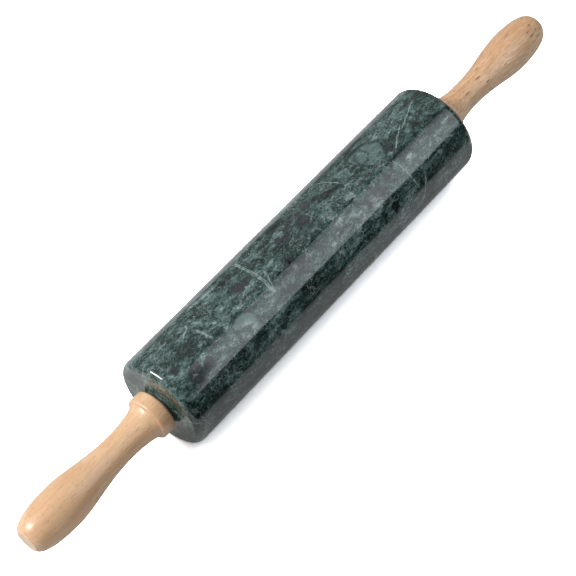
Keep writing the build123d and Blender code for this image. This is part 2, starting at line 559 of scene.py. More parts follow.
def maths(operation, *values):
    """Result of a Math node over one, two or three values."""
    return put("Math", dict(enumerate(values)), operation=operation).outputs[0]


def times(first, second):
    """Product of two values."""
    return maths("MULTIPLY", first, second)


def vectors(operation, *values, result="Vector"):
    """Result of a Vector Math node over its vectors."""
    return put("VectorMath", dict(enumerate(values)), operation=operation).outputs[result]


def between(value, low, high, to_low=0.0, to_high=1.0):
    """Value eased from one range to another and held at its ends."""
    inputs = {"Value": value, "From Min": low, "From Max": high, "To Min": to_low, "To Max": to_high}
    return put("MapRange", inputs, interpolation_type="SMOOTHSTEP").outputs["Result"]


def blend(factor, first, second):
    """First colour changed towards the second by the factor."""
    colours = [colour if is_socket(colour) else (*colour, 1) for colour in (first, second)]
    return put("Mix", {0: factor, 6: colours[0], 7: colours[1]}, data_type="RGBA").outputs[2]


# %% [markdown]
# An effect that several finishes share, such as cloudy variation or fine scuffs, is built once as a
# node group with named inputs, and then placed in each material with its own values, as a painter
# reaches for the same brush.

# %% Node groups
GROUPS = {}


def new_group(name, inputs, outputs):
    """What a new node group is given, by name, and the node that takes its outputs."""
    group = bpy.data.node_groups.new(name, "ShaderNodeTree")
    for label, default in inputs.items():
        kind = "NodeSocketFloat" if isinstance(default, float) else "NodeSocketVector"
        socket = group.interface.new_socket(label, in_out="INPUT", socket_type=kind)
        if default is not None:
            socket.default_value = default
    for label in outputs:
        group.interface.new_socket(label, in_out="OUTPUT", socket_type="NodeSocketFloat")
    GROUPS[name] = group
    return group.nodes.new("NodeGroupInput").outputs, group.nodes.new("NodeGroupOutput")


def place(name, inputs, output="Mask"):
    """One output of a node group placed with its own values."""
    return put("Group", inputs, node_tree=GROUPS[name], label=name).outputs[output]


# %% [markdown]
# `fractal` is noise with finer noise over it. `warped` shifts a place by noise, which is what turns
# a straight pattern into a natural one. `clouds` is soft variation at one scale, `net` draws the
# lines where neighbouring cells meet, and `cells` fills the cells themselves.

# %% Clouds, nets and cells
def fractal(vector, scale, detail, twist=0.0, roughness=0.6):
    """Plain noise with this many layers of detail."""
    inputs = {"Vector": vector, "Scale": scale, "Detail": detail}
    return put("TexNoise", {**inputs, "Roughness": roughness, "Distortion": twist}).outputs["Fac"]


def warped(vector, scale, amount):
    """Place shifted by smooth noise, by up to about half the amount each way."""
    noise = put("TexNoise", {"Vector": vector, "Scale": scale, "Detail": 3.0})
    centred = vectors("SUBTRACT", noise.outputs["Color"], (0.5, 0.5, 0.5))
    shift = put("VectorMath", {0: centred, "Scale": amount}, operation="SCALE").outputs[0]
    return vectors("ADD", vector, shift)


def make_clouds():
    """Soft patches, from 0 below Low to 1 above High."""
    inputs = {"Vector": None, "Scale": 0.1, "Detail": 5.0, "Twist": 0.5, "Low": 0.4, "High": 0.6}
    given, out = new_group("clouds", inputs, ("Mask",))
    noise = fractal(given["Vector"], given["Scale"], given["Detail"], given["Twist"], 0.62)
    feed(out, {"Mask": between(noise, given["Low"], given["High"])})


def make_net():
    """Thin lines between warped cells."""
    inputs = {"Vector": None, "Scale": 0.2, "Warp": 4.0, "Width": 0.05}
    given, out = new_group("net", inputs, ("Mask",))
    where = warped(given["Vector"], times(given["Scale"], 1.3), given["Warp"])
    cells = put("TexVoronoi", {"Vector": where, "Scale": given["Scale"]}, feature="DISTANCE_TO_EDGE")
    feed(out, {"Mask": between(cells.outputs["Distance"], 0.0, given["Width"], 1.0, 0.0)})


def make_cells():
    """Rounded cells apart from each other, each with its own random tone."""
    inputs = {"Vector": None, "Scale": 0.2, "Warp": 3.0, "Gap": 0.08}
    given, out = new_group("cells", inputs, ("Mask", "Tone"))
    shifted = warped(given["Vector"], times(given["Scale"], 1.7), given["Warp"])
    where = {"Vector": shifted, "Scale": given["Scale"]}
    edges = put("TexVoronoi", where, feature="DISTANCE_TO_EDGE")
    tones = put("TexVoronoi", where, feature="F1")
    high = maths("ADD", given["Gap"], 0.12)
    mask = between(edges.outputs["Distance"], given["Gap"], high)
    tone = put("SeparateColor", {0: tones.outputs["Color"]}).outputs[0]
    feed(out, {"Mask": mask, "Tone": tone})


# %% [markdown]
# `sheet` is one vein: in real stone a vein is a crack healed with another mineral, so it is a thin
# sheet through the block, and only its cut edge shows. `patch` is a blot round a point, and `scuffs`
# are the faint marks that handling leaves on a polish.

# %% Sheets, patches and scuffs
def make_sheet():
    """One vein: thin wandering sheets a Pair apart through Middle, square to Across, out to Reach."""
    places = {"Vector": None, "Middle": (0.0, 0.0, 0.0), "Across": (1.0, 0.0, 0.0)}
    inputs = {**places, "Reach": 20.0, "Width": 0.5, "Pair": 0.0, "Wander": 2.2}
    given, out = new_group("sheet", inputs, ("Mask", "Halo"))
    offset = vectors("SUBTRACT", given["Vector"], given["Middle"])
    drift = fractal(given["Vector"], 0.16, 5.0, roughness=0.5)
    wander = times(maths("SUBTRACT", drift, 0.5), given["Wander"])
    straight = vectors("DOT_PRODUCT", offset, given["Across"], result="Value")
    apart = maths("ABSOLUTE", maths("ADD", straight, wander))
    beside = maths("ABSOLUTE", maths("SUBTRACT", apart, given["Pair"]))
    thick = fractal(given["Vector"], 0.5, 3.0, roughness=0.5)
    width = times(between(thick, 0.38, 0.60, 0.2, 1.5), given["Width"])
    line = between(beside, 0.0, width, 1.0, 0.0)
    far = vectors("LENGTH", offset, result="Value")
    inside = between(far, times(given["Reach"], 0.6), given["Reach"], 1.0, 0.0)
    halo_width = maths("MULTIPLY_ADD", width, 3.0, given["Pair"])
    halo = between(apart, 0.0, halo_width, 1.0, 0.0)
    feed(out, {"Mask": times(line, inside), "Halo": times(halo, inside)})


def make_patch():
    """A blot round Middle out to Reach, and the Rim round its edge."""
    inputs = {"Vector": None, "Middle": (0.0, 0.0, 0.0), "Reach": 10.0, "Soft": 0.15}
    given, out = new_group("patch", inputs, ("Mask", "Rim"))
    far = vectors("DISTANCE", given["Vector"], given["Middle"], result="Value")
    share = maths("DIVIDE", far, given["Reach"])
    mask = between(share, maths("SUBTRACT", 1.0, given["Soft"]), 1.0, 1.0, 0.0)
    edge = maths("ABSOLUTE", maths("SUBTRACT", share, 1.0))
    feed(out, {"Mask": mask, "Rim": between(edge, 0.0, 0.22, 1.0, 0.0)})


def make_scuffs():
    """Fine dull scratches and handling marks for a polished surface."""
    inputs = {"Vector": None, "Scale": 0.3, "Amount": 1.0}
    given, out = new_group("scuffs", inputs, ("Mask",))
    cloud = fractal(given["Vector"], given["Scale"], 6.0, roughness=0.7)
    fine = fractal(given["Vector"], times(given["Scale"], 14.0), 2.0, roughness=0.5)
    both = between(times(cloud, fine), 0.15, 0.42)
    feed(out, {"Mask": times(both, given["Amount"])})


for make in (make_clouds, make_net, make_cells, make_sheet, make_patch, make_scuffs):
    make()
print("node groups:", ", ".join(GROUPS))

# %% [markdown]
# Each finish is a Principled shader fed by nodes. Object coordinates keep a pattern in its piece
# when the piece moves, and `in_mm` turns them into millimetres.

# %% New material
def new_material(name):
    """Empty material, its shader, and the object place that its patterns start from."""
    material = bpy.data.materials.new(name)
    tree = blank_tree(material)
    shader = put("BsdfPrincipled", {}, tree)
    put("OutputMaterial", {"Surface": shader.outputs[0]})
    where = put("TexCoord", {}, tree).outputs["Object"]
    return material, shader, where


def in_mm(where, middle=(0, 0, 0), stretch=(1, 1, 1)):
    """Object place turned into millimetres from a chosen middle, stretched along an axis if asked."""
    scale = [1 / (MM * s) for s in stretch]
    location = [-m / s for m, s in zip(middle, stretch)]
    return put("Mapping", {"Vector": where, "Location": location, "Scale": scale}).outputs[0]


def finish_with(piece, material):
    """Give a piece one material."""
    piece.data.materials.clear()
    piece.data.materials.append(material)


# %% [markdown]
# ## Green marble
#
# This stone is a breccia: a dark green rock that broke in the ground and was healed with paler
# minerals. A picture of stone wrapped round the barrel would show a seam. Here the pattern is made
# in the solid block instead, so it runs through the barrel, round its edges and into its bore.

# %% Marble colours
MARBLE_BLACK = (0.0030, 0.0070, 0.0060)
MARBLE_DARK = (0.010, 0.025, 0.021)
MARBLE_DEEP = (0.032, 0.065, 0.057)
MARBLE_MID = (0.072, 0.128, 0.116)
MARBLE_PALE = (0.135, 0.210, 0.195)
MARBLE_WHITE = (0.340, 0.420, 0.410)
MARBLE_VEIN = (0.340, 0.430, 0.410)
CLAST_DARK = (0.018, 0.021, 0.026)
CLAST_PALE = (0.050, 0.049, 0.060)
TAN_VEIN = (0.120, 0.098, 0.048)
# Pale dots standing in for crystals that catch the light: a painted glint.
PAINTED_GLINT = (0.45, 0.50, 0.48)
print("darkest and palest green:", MARBLE_BLACK, MARBLE_WHITE)

# %% [markdown]
# Each table lists marks by where they lie in the block and how far they reach, in millimetres. The
# first rows are the marks that the picture shows, and the rest are on the sides that it doesn't
# show, so that the barrel looks like the same stone all round.

# %% Marks in the stone
CLASTS = (
    ((-107.4, -13.5, 26.8), 4.6),
    ((-104.9, -10.9, 27.9), 3.2),
    ((-97.8, -13.7, 26.7), 3.4),
    ((-109.0, -19.8, 22.5), 2.8),
    ((4.8, 6.4, 29.3), 3.6),
    ((-5.5, 8.9, 28.7), 3.0),
    ((13.4, 12.0, 27.5), 3.2),
    ((-15.2, 7.4, 29.1), 2.4),
    ((-11.9, 5.0, 29.6), 2.2),
    ((-22.1, -6.4, 29.3), 2.6),
    ((-53.0, 3.7, 29.8), 3.2),
    ((-48.1, 2.9, 29.9), 2.2),
    ((-98.3, -0.4, 30.0), 2.0),
    ((-114.3, -3.9, 29.7), 2.4),
    ((75.1, -1.1, 30.0), 2.2),
    ((60.0, -22.0, -20.0), 5.0),
    ((52.0, -27.0, -12.0), 3.5),
    ((-30.0, 25.0, -15.0), 4.5),
    ((95.0, 20.0, -21.0), 4.0),
    ((-120.0, 12.0, -16.0), 4.0),
    ((122.0, -16.0, 10.0), 4.0),
)
BLACK_BLOTS = (
    ((-7.5, 16.8, 24.9), 3.0),
    ((-18.0, 19.0, 23.2), 3.0),
    ((52.7, -24.4, 17.4), 3.6),
    ((-22.0, -5.6, 29.5), 1.8),
    ((-26.0, -21.9, 20.5), 3.6),
    ((-55.5, 14.0, 26.5), 2.6),
    ((-56.2, 19.5, 22.8), 2.2),
    ((30.0, -15.0, -26.0), 4.0),
    ((-90.0, 20.0, -22.0), 4.0),
)
WHITE_BLOTS = (
    ((17.7, -9.3, 28.5), 5.2),
    ((12.4, -14.4, 26.3), 4.6),
    ((6.2, -15.8, 25.5), 3.8),
    ((31.8, -15.6, 25.6), 5.2),
    ((43.4, -17.5, 24.4), 5.9),
    ((35.6, -5.1, 29.6), 4.2),
    ((16.5, -6.6, 29.3), 4.6),
    ((-65.4, -16.8, 24.9), 7.3),
    ((-70.4, -16.7, 24.9), 5.2),
    ((80.6, -12.5, 27.3), 3.0),
    ((-40.7, -9.7, 28.4), 3.8),
    ((-60.0, 12.0, -27.0), 7.0),
    ((20.0, -28.0, -8.0), 7.8),
)
SMOOTH_BLOTS = (
    ((65.0, 5.5, 29.4), 9.5),
    ((59.0, 9.0, 28.6), 6.0),
    ((-66.9, -14.0, 26.5), 8.0),
    ((18.0, -24.0, -16.0), 9.0),
    ((-100.0, 22.0, -18.0), 8.0),
)
CRUSHED_ZONES = (
    ((2.0, 9.0, 28.6), 17),
    ((-50.0, 2.0, 29.9), 10),
    ((-106.0, -12.0, 27.5), 13),
    ((60.0, -22.0, -20.0), 16),
    ((-30.0, 25.0, -12.0), 14),
)
VEINS = (
    ((84.0, -0.5, 29.7), (-0.52, 0.85, 0.05), 12, 0.45, 0.0),
    ((101.0, 5.7, 29.4), (-0.36, 0.92, 0.10), 15, 0.30, 0.0),
    ((71.5, -17.5, 24.2), (-0.98, -0.10, -0.10), 12, 0.50, 0.0),
    ((77.0, -27.5, 11.5), (-0.72, -0.30, 0.60), 12, 0.45, 0.0),
    ((93.0, -17.5, 24.4), (0.62, -0.60, -0.50), 9, 0.30, 0.0),
    ((34.5, 11.8, 27.5), (-0.90, -0.42, 0.10), 10, 0.45, 0.0),
    ((-40.8, 4.0, 29.7), (-1.00, 0.02, 0.00), 22, 0.42, 0.55),
    ((-37.8, -5.2, 29.5), (-0.94, 0.33, 0.05), 8, 0.40, 0.0),
    ((-87.5, -0.3, 30.0), (-0.96, -0.26, 0.02), 7, 0.45, 0.45),
    ((-92.8, 8.3, 28.8), (0.45, -0.88, 0.10), 5, 0.45, 0.0),
    ((30.0, -20.0, -22.0), (0.80, 0.50, 0.30), 32, 0.50, 0.5),
    ((-60.0, 18.0, -22.0), (0.90, -0.35, 0.20), 34, 0.50, 0.0),
)
DARK_SEAMS = (
    ((-22.0, -4.2, 29.7), (0.04, 0.99, 0.10), 48, 0.8, 0.0),
    ((-20.0, 18.5, 23.6), (0.03, 0.80, -0.60), 60, 1.6, 0.0),
    ((60.0, 1.0, 30.0), (0.60, 0.80, 0.05), 14, 0.6, 0.0),
    ((50.0, 10.0, 28.3), (0.90, 0.20, 0.20), 12, 0.5, 0.0),
    ((-95.0, -19.0, 23.2), (0.10, 0.80, 0.60), 26, 1.2, 0.0),
    ((0.0, -24.0, -18.0), (0.05, 0.60, -0.80), 90, 1.6, 0.0),
    ((0.0, 16.0, -25.0), (0.05, 0.85, 0.50), 90, 1.6, 0.0),
)
OCHRE_VEIN = (((-126.0, -10.0, 27.5), (1.0, 0.0, 0.12), 13, 0.3, 0.4),)
print(len(CLASTS), "large chips,", len(BLACK_BLOTS) + len(WHITE_BLOTS), "blots,", len(VEINS), "veins")

# %% [markdown]
# A group is placed once for each row of a table, and the strongest mark wins where two meet. A
# finish is then painted in coats, each with a mask that says where, a strength and a colour.

# %% Painting in coats
def ramp(factor, stops):
    """Colour along a ramp of (place, colour) stops."""
    node = put("ValToRGB", {0: factor})
    elements = node.color_ramp.elements
    while len(elements) < len(stops):
        elements.new(0.5)
    for element, (place_on, colour) in zip(elements, stops):
        element.position = place_on
        element.color = (*colour, 1)
    return node.outputs[0]


def most(*masks):
    """The largest of several masks."""
    total = masks[0]
    for mask in masks[1:]:
        total = maths("MAXIMUM", total, mask)
    return total


def of_table(group, names, table, shared, outputs):
    """Outputs of a node group placed for every row of a table, the largest of each kind."""
    rows = [{**shared, **dict(zip(names, row))} for row in table]
    placed = [put("Group", row, node_tree=GROUPS[group]) for row in rows]
    return [most(*(node.outputs[name] for node in placed)) for name in outputs]


def marks(where, table, soft=0.15):
    """Mask and rim of all the blots in a table."""
    shared = {"Vector": where, "Soft": soft}
    return of_table("patch", ("Middle", "Reach"), table, shared, ("Mask", "Rim"))


def seams(where, table, wander):
    """Mask and halo of all the sheets in a table."""
    names = ("Middle", "Across", "Reach", "Width", "Pair")
    shared = {"Vector": where, "Wander": wander}
    return of_table("sheet", names, table, shared, ("Mask", "Halo"))


def coated(colour, coats):
    """Colour under several coats, each given as its mask, its strength and its colour."""
    for mask, strength, painted in coats:
        colour = blend(times(mask, strength), colour, painted)
    return colour


# %% [markdown]
# The ground is one number from dark to pale, which a ramp turns into greens. Soft clouds at three
# sizes add up to it, drawn out along the bedding of the stone. The barrel's -Y side, away from the
# key light, is darkened as a painted shade, and smooth patches pull the number to a single value.

# %% Ground of the marble
GROUND_RAMP = (
    (0.16, MARBLE_BLACK),
    (0.31, MARBLE_DARK),
    (0.43, MARBLE_DEEP),
    (0.55, MARBLE_MID),
    (0.72, MARBLE_PALE),
    (0.90, MARBLE_WHITE),
)
# The barrel's -Y side, away from the key light, is darkened in the ground: a painted shade.
PAINTED_SHADE_SIDE_Y, PAINTED_SHADE_DEPTH = (-24.0, -18.0), -0.10
SMOOTH_SHADE, SMOOTH_PULL = 0.67, 0.75


def places_in_stone(where):
    """Places in the block: plain, drawn out along the bedding, in short strokes, and ragged."""
    spot = in_mm(where)
    flow = warped(in_mm(where, stretch=(2.0, 1, 1)), 0.06, 14.0)
    strokes = warped(in_mm(where, stretch=(1.4, 1, 1)), 0.35, 3.0)
    ragged = warped(warped(spot, 0.2, 3.0), 0.7, 1.6)
    return spot, flow, strokes, ragged


def stone_ground(spot, flow, strokes, ragged):
    """Green ground of the stone, and the rims of its smooth patches."""
    shade = 0.5
    for vector, scale, detail, twist, weight in (
        (flow, 0.045, 3.0, 0.4, 0.9),
        (flow, 0.17, 8.0, 1.3, 1.45),
        (strokes, 0.8, 5.0, 1.6, 1.55),
    ):
        noise = maths("SUBTRACT", fractal(vector, scale, detail, twist), 0.5)
        shade = maths("MULTIPLY_ADD", noise, weight, shade)
    # Painted shade: the ground darkens along the -Y side.
    painted_shade = between(put("SeparateXYZ", {0: spot}).outputs[1], *PAINTED_SHADE_SIDE_Y, 1.0, 0.0)
    shade = maths("MULTIPLY_ADD", painted_shade, PAINTED_SHADE_DEPTH, shade)
    smooth, smooth_rims = marks(ragged, SMOOTH_BLOTS, 0.08)
    pull = times(smooth, SMOOTH_PULL)
    shade = maths("MULTIPLY_ADD", maths("SUBTRACT", SMOOTH_SHADE, shade), pull, shade)
    return ramp(shade, GROUND_RAMP), smooth_rims


# %% [markdown]
# Where the rock was crushed, purple-grey chips lie in a pale net. The larger chips are placed one by
# one. Round them lie soft white and black blots, near-black streaks and a fine dark pepper.

# %% Chips, blots and streaks
def chip_coats(spot, strokes, ragged, smooth_rims):
    """Coats of the pale net and the chips of the crushed zones, and of the large chips."""
    zones, _ = marks(ragged, CRUSHED_ZONES, 0.3)
    clouds = {"Vector": spot, "Scale": 0.03, "Detail": 2.0, "Low": 0.70, "High": 0.78}
    crushed = most(zones, place("clouds", clouds))
    cells = {"Vector": ragged, "Scale": 0.22, "Warp": 3.0, "Gap": 0.12}
    chips = put("Group", cells, node_tree=GROUPS["cells"])
    chosen = between(chips.outputs["Tone"], 0.55, 0.65)
    chip = times(times(chips.outputs["Mask"], crushed), chosen)
    net = place("net", {"Vector": ragged, "Scale": 0.22, "Warp": 3.0, "Width": 0.07})
    clasts, clast_rims = marks(ragged, CLASTS)
    grain = between(fractal(strokes, 0.9, 4.0, 0.5), 0.3, 0.7)
    tone = blend(grain, CLAST_DARK, CLAST_PALE)
    return [
        (times(net, crushed), 0.5, MARBLE_PALE),
        (chip, 0.7, tone),
        (most(clast_rims, smooth_rims), 0.6, MARBLE_BLACK),
        (clasts, 0.92, tone),
    ]


def blot_coats(spot, flow, strokes, ragged, patchy):
    """Coats of white and black blots, of near-black streaks and of pepper."""
    drifted = warped(warped(ragged, 0.12, 9.0), 0.35, 5.0)
    whites, _ = marks(drifted, WHITE_BLOTS, 0.8)
    blacks, _ = marks(ragged, BLACK_BLOTS, 0.3)
    streak = place("net", {"Vector": flow, "Scale": 0.06, "Warp": 9.0, "Width": 0.12})
    seam, seam_halo = seams(ragged, DARK_SEAMS, 5.0)
    speck = between(fractal(strokes, 0.45, 6.0, 1.0, 0.7), 0.44, 0.56)
    pepper = between(fractal(spot, 1.1, 3.0, 0.0, 0.7), 0.33, 0.42, 1.0, 0.0)
    return [
        (times(whites, patchy), 1.0, MARBLE_WHITE),
        (blacks, 0.95, MARBLE_BLACK),
        (times(most(streak, seam, seam_halo), speck), 0.9, MARBLE_DARK),
        (pepper, 0.8, MARBLE_BLACK),
    ]


# %% [markdown]
# The veins come last, because they healed cracks through everything that was there before: threads
# as thin as a hair, white veins with a paler edge, and one ochre vein near the left end. A few tiny
# pale dots are painted glints, as of crystals catching the light.

# %% Veins and painted glints
def vein_coats(spot, flow, strokes, ragged, patchy):
    """Coats of threads, veins and painted glints, and the mask of the white veins."""
    hairs = place("net", {"Vector": flow, "Scale": 0.09, "Warp": 10.0, "Width": 0.02})
    fibres = place("net", {"Vector": strokes, "Scale": 0.16, "Warp": 8.0, "Width": 0.03})
    healed = between(fractal(spot, 0.07, 4.0), 0.48, 0.60)
    vein, halo = seams(spot, VEINS, 2.4)
    ochre, ochre_halo = seams(ragged, OCHRE_VEIN, 3.0)
    # Rare pale dots are painted in as glints of crystals catching the light.
    grit = put("TexVoronoi", {"Vector": spot, "Scale": 0.24}, feature="F1")
    painted_glint = between(grit.outputs["Distance"], 0.06, 0.10, 1.0, 0.0)
    chance = put("SeparateColor", {0: grit.outputs["Color"]}).outputs[1]
    coats = [
        (times(most(hairs, fibres), healed), 0.45, MARBLE_WHITE),
        (halo, 0.3, MARBLE_PALE),
        (vein, 0.9, MARBLE_VEIN),
        (times(ochre_halo, patchy), 0.3, TAN_VEIN),
        (times(ochre, patchy), 0.9, TAN_VEIN),
        (times(painted_glint, maths("GREATER_THAN", chance, 0.8)), 1.0, PAINTED_GLINT),
    ]
    return coats, vein


# %% [markdown]
# The polish makes the stone a dark mirror. Faint scuffs and pits keep the mirror from being perfect,
# and the veins are softer than the rock, so they take the polish a little less well.

# %% Polished marble
MARBLE_IOR = 1.6
POLISH = 0.05


def green_marble():
    """Polished green breccia marble."""
    material, shader, where = new_material("green_marble_polished")
    spot, flow, strokes, ragged = places_in_stone(where)
    patchy = between(fractal(strokes, 0.35, 5.0, 0.8), 0.40, 0.56)
    ground, smooth_rims = stone_ground(spot, flow, strokes, ragged)
    chips = chip_coats(spot, strokes, ragged, smooth_rims)
    blots = blot_coats(spot, flow, strokes, ragged, patchy)
    veins, vein = vein_coats(spot, flow, strokes, ragged, patchy)
    colour = coated(ground, chips + blots + veins)
    scuffs = place("scuffs", {"Vector": spot, "Scale": 0.12, "Amount": 0.05})
    roughness = maths("ADD", scuffs, maths("MULTIPLY_ADD", vein, 0.05, POLISH))
    pits = place("clouds", {"Vector": spot, "Scale": 0.5, "Detail": 5.0, "Low": 0.3, "High": 0.7})
    bump = put("Bump", {"Strength": 0.05, "Distance": 0.01 * MM, "Height": pits}).outputs[0]
    feed(shader, {"Base Color": colour, "Roughness": roughness, "IOR": MARBLE_IOR, "Normal": bump})
    return material


finish_with(barrel, green_marble())
print("marble nodes:", len(barrel.data.materials[0].node_tree.nodes))

# %% [markdown]
# ## Lacquered beech
#
# Beech is pale, even and faintly pink. A log's growth rings show as soft bands, and its rays as
# short dark dashes that run along the grain. Both come from the stick's place in the log, so the
# rings are distances from a line that runs beside the handle. Over the wood lies a clear coat of
# lacquer. The two handles come from different logs: the near one is plain, and the far one is
# streaked and flecked, and its shaded -Y side is painted paler, a painted light.

# %% Beech finish
BEECH_PALE = (0.890, 0.610, 0.380)
BEECH_MID = (0.810, 0.515, 0.300)
BEECH_WARM = (0.690, 0.380, 0.190)
BEECH_RING = (0.540, 0.280, 0.135)
BEECH_PORE = (0.480, 0.210, 0.080)
BEECH_FLECK = (0.150, 0.045, 0.012)
# Paler colour painted on the far handle's shaded -Y side: painted light.
BEECH_PAINTED_LIGHT = (0.960, 0.710, 0.470)
# Paler colour painted on the flat ends of the handles: painted light.
END_PAINTED_LIGHT = (0.860, 0.640, 0.440)
RINGS_A_MM = 0.36
LACQUER, LACQUER_ROUGHNESS, WOOD_ROUGHNESS = 0.4, 0.14, 0.40


def dashes(where, length, scale, size, share):
    """Dashes along the grain: stretched cells of which a share is drawn, each out to its size."""
    stretched = put("Mapping", {"Vector": where, "Scale": (1 / length, 1, 1)}).outputs[0]
    cells = put("TexVoronoi", {"Vector": stretched, "Scale": scale}, feature="F1")
    chance = put("SeparateColor", {0: cells.outputs["Color"]}).outputs[0]
    shape = between(cells.outputs["Distance"], 0.65 * size, size, 1.0, 0.0)
    return times(shape, maths("LESS_THAN", chance, share))


def lacquered_beech(name, heart, flecks, streaks, blush, painted_side_light):
    """Beech turned from a stick whose log's heart lies at this place beside the axis, in mm."""
    material, shader, where = new_material(name)
    spot = in_mm(where)
    log = in_mm(where, middle=(0, *heart))
    along = in_mm(where, middle=(0, *heart), stretch=(11, 1, 1))
    wavy = warped(along, 0.06, 8.0)
    flat = vectors("MULTIPLY", wavy, (0.0, 1.0, 1.0))
    from_heart = vectors("LENGTH", flat, result="Value")
    late = between(maths("FRACT", times(from_heart, RINGS_A_MM)), 0.45, 0.95)
    grown = between(fractal(along, 0.10, 3.0, 0.5), 0.36, 0.64)
    broad = in_mm(where, middle=(40, *heart), stretch=(3, 1, 1))
    warm = between(fractal(broad, 0.045, 2.0), 0.45, 0.66)
    streak = between(fractal(along, 0.7, 4.0, 0.4), 0.40, 0.64)
    fibre = between(fractal(along, 1.8, 3.0), 0.36, 0.64)
    sides = put("SeparateXYZ", {0: spot})
    end = HANDLE_START + HANDLE_LENGTH
    # The flat ends of both handles are painted paler: painted light.
    painted_end_light = between(maths("ABSOLUTE", sides.outputs[0]), end - 0.5, end - 0.1)
    coats = (
        (warm, blush, BEECH_WARM),
        # Painted light: the far handle's -Y side is made paler.
        (between(sides.outputs[1], 2.0, -9.0), painted_side_light, BEECH_PAINTED_LIGHT),
        (late, 0.16 * streaks, BEECH_RING),
        (streak, 0.24 * streaks, BEECH_RING),
        (fibre, 0.20 * streaks, BEECH_RING),
        (dashes(log, 3.0, 0.9, 0.30, 0.8), 0.36, BEECH_PORE),
        (dashes(log, 5.0, 0.6, 0.20, 0.5), 0.42, BEECH_PORE),
        (dashes(log, 9.0, 0.55, 0.22, flecks), 0.95, BEECH_FLECK),
        # Painted light on the flat ends.
        (painted_end_light, 0.6, END_PAINTED_LIGHT),
    )
    colour = coated(blend(grown, BEECH_PALE, BEECH_MID), coats)
    scuffs = place("scuffs", {"Vector": spot, "Scale": 0.15, "Amount": 0.12})
    roughness = maths("ADD", scuffs, WOOD_ROUGHNESS)
    bump = put("Bump", {"Strength": 0.3, "Distance": 0.05 * MM, "Height": fibre}).outputs[0]
    feed(shader, {"Base Color": colour, "Roughness": roughness, "Normal": bump})
    feed(shader, {"Coat Weight": LACQUER, "Coat Roughness": LACQUER_ROUGHNESS})
    return material


# The last number is how strongly the -Y side is painted paler, a painted light.
WOODS = {
    "left": ("lacquered_beech_near", (26.0, 40.0), 0.0, 0.8, 0.3, 0.0),
    "right": ("lacquered_beech_far", (-18.0, 33.0), 0.42, 2.0, 0.7, 0.8),
}
for side, wood in WOODS.items():
    finish_with(handles[side], lacquered_beech(*wood))
    print(side, "handle: log's heart at", wood[1], "mm")

# %% [markdown]
# ## Steel, nylon and brass
#
# Metals on a pin are turned bar: bright, with fine rings from the tool and a few handling marks.
# The nylon is a moulded white plastic, satin rather than glossy, and a little uneven.

# %% Metal and nylon finishes
STEEL, STEEL_STAIN, STEEL_ROUGHNESS = (0.62, 0.62, 0.63), (0.50, 0.50, 0.51), 0.12
BRASS, BRASS_STAIN, BRASS_ROUGHNESS = (0.78, 0.60, 0.30), (0.62, 0.44, 0.20), 0.24
NYLON, NYLON_CLOUDED, NYLON_ROUGHNESS = (0.86, 0.86, 0.84), (0.80, 0.80, 0.77), 0.34


def turned_metal(name, colour, stain, roughness):
    """Turned metal whose fine tool rings run round the axis."""
    material, shader, where = new_material(name)
    spot = in_mm(where)
    rings = in_mm(where, stretch=(0.08, 4, 4))
    tool = place("clouds", {"Vector": rings, "Scale": 0.5, "Detail": 3.0, "Low": 0.3, "High": 0.7})
    worn = place("scuffs", {"Vector": spot, "Scale": 0.4, "Amount": 1.0})
    tint = blend(times(worn, 0.6), colour, stain)
    rough = maths("MULTIPLY_ADD", worn, 0.15, maths("MULTIPLY_ADD", tool, 0.08, roughness))
    bump = put("Bump", {"Strength": 0.3, "Distance": 0.01 * MM, "Height": tool}).outputs[0]
    feed(shader, {"Base Color": tint, "Metallic": 1.0, "Roughness": rough, "Normal": bump})
    return material


def white_nylon():
    """Moulded nylon, satin, with a faint warm cloudiness."""
    material, shader, where = new_material("white_nylon_moulded")
    spot = in_mm(where)
    cloudy = place("clouds", {"Vector": spot, "Scale": 0.35, "Detail": 4.0, "Low": 0.3, "High": 0.7})
    worn = place("scuffs", {"Vector": spot, "Scale": 0.5, "Amount": 1.0})
    colour = blend(cloudy, NYLON, NYLON_CLOUDED)
    rough = maths("MULTIPLY_ADD", worn, 0.18, NYLON_ROUGHNESS)
    bump = put("Bump", {"Strength": 0.15, "Distance": 0.02 * MM, "Height": cloudy})
    feed(shader, {"Base Color": colour, "Roughness": rough, "Normal": bump.outputs[0]})
    return material


finish_with(rod, turned_metal("polished_steel_bar", STEEL, STEEL_STAIN, STEEL_ROUGHNESS))
nylon = white_nylon()
brass = turned_metal("turned_brass", BRASS, BRASS_STAIN, BRASS_ROUGHNESS)
for side in SIDES:
    finish_with(bushings[side], nylon)
    finish_with(sleeves[side], brass)
print("finishes:", ", ".join(material.name for material in bpy.data.materials if material.users))

# %% [markdown]
# ## Floor, light and background
#
# The picture is a white studio. Polished stone is mostly a mirror, so what surrounds it matters as
# much as what lights it. The Light Path node tells what kind of ray is looking, so the floor can be
# white to the camera, dimmer in the stone's mirror, and plain where it only lights the pin. A
# little glow keeps the mirrored floor bright in the pin's own shadow. To the camera, Ambient
# Occlusion darkens the floor just beside the pin, as contact with it does.

# %% Light through rays
def seen(tree):
    """1 where a camera, a mirror or a clear material looks, and 0 for light on the object."""
    path = put("LightPath", {}, tree)
    camera_ray = path.outputs["Is Camera Ray"]
    looks = most(camera_ray, path.outputs["Is Glossy Ray"], path.outputs["Is Transmission Ray"])
    return looks, camera_ray


# %% Floor
FLOOR_SIZE = 8
FLOOR_COLOUR = 0.65
FLOOR_TO_CAMERA = 9.5
FLOOR_IN_MIRROR = 0.68
FLOOR_GLOW = 0.14
SWEEP_START, SWEEP_END = 0.12, 0.22
DIM_BEHIND, DIM_BEFORE = 0.3, 0.05
CONTACT, CONTACT_SAMPLES = 0.08, 8
TO_KEY = (-0.65, 0.15, 0.74)


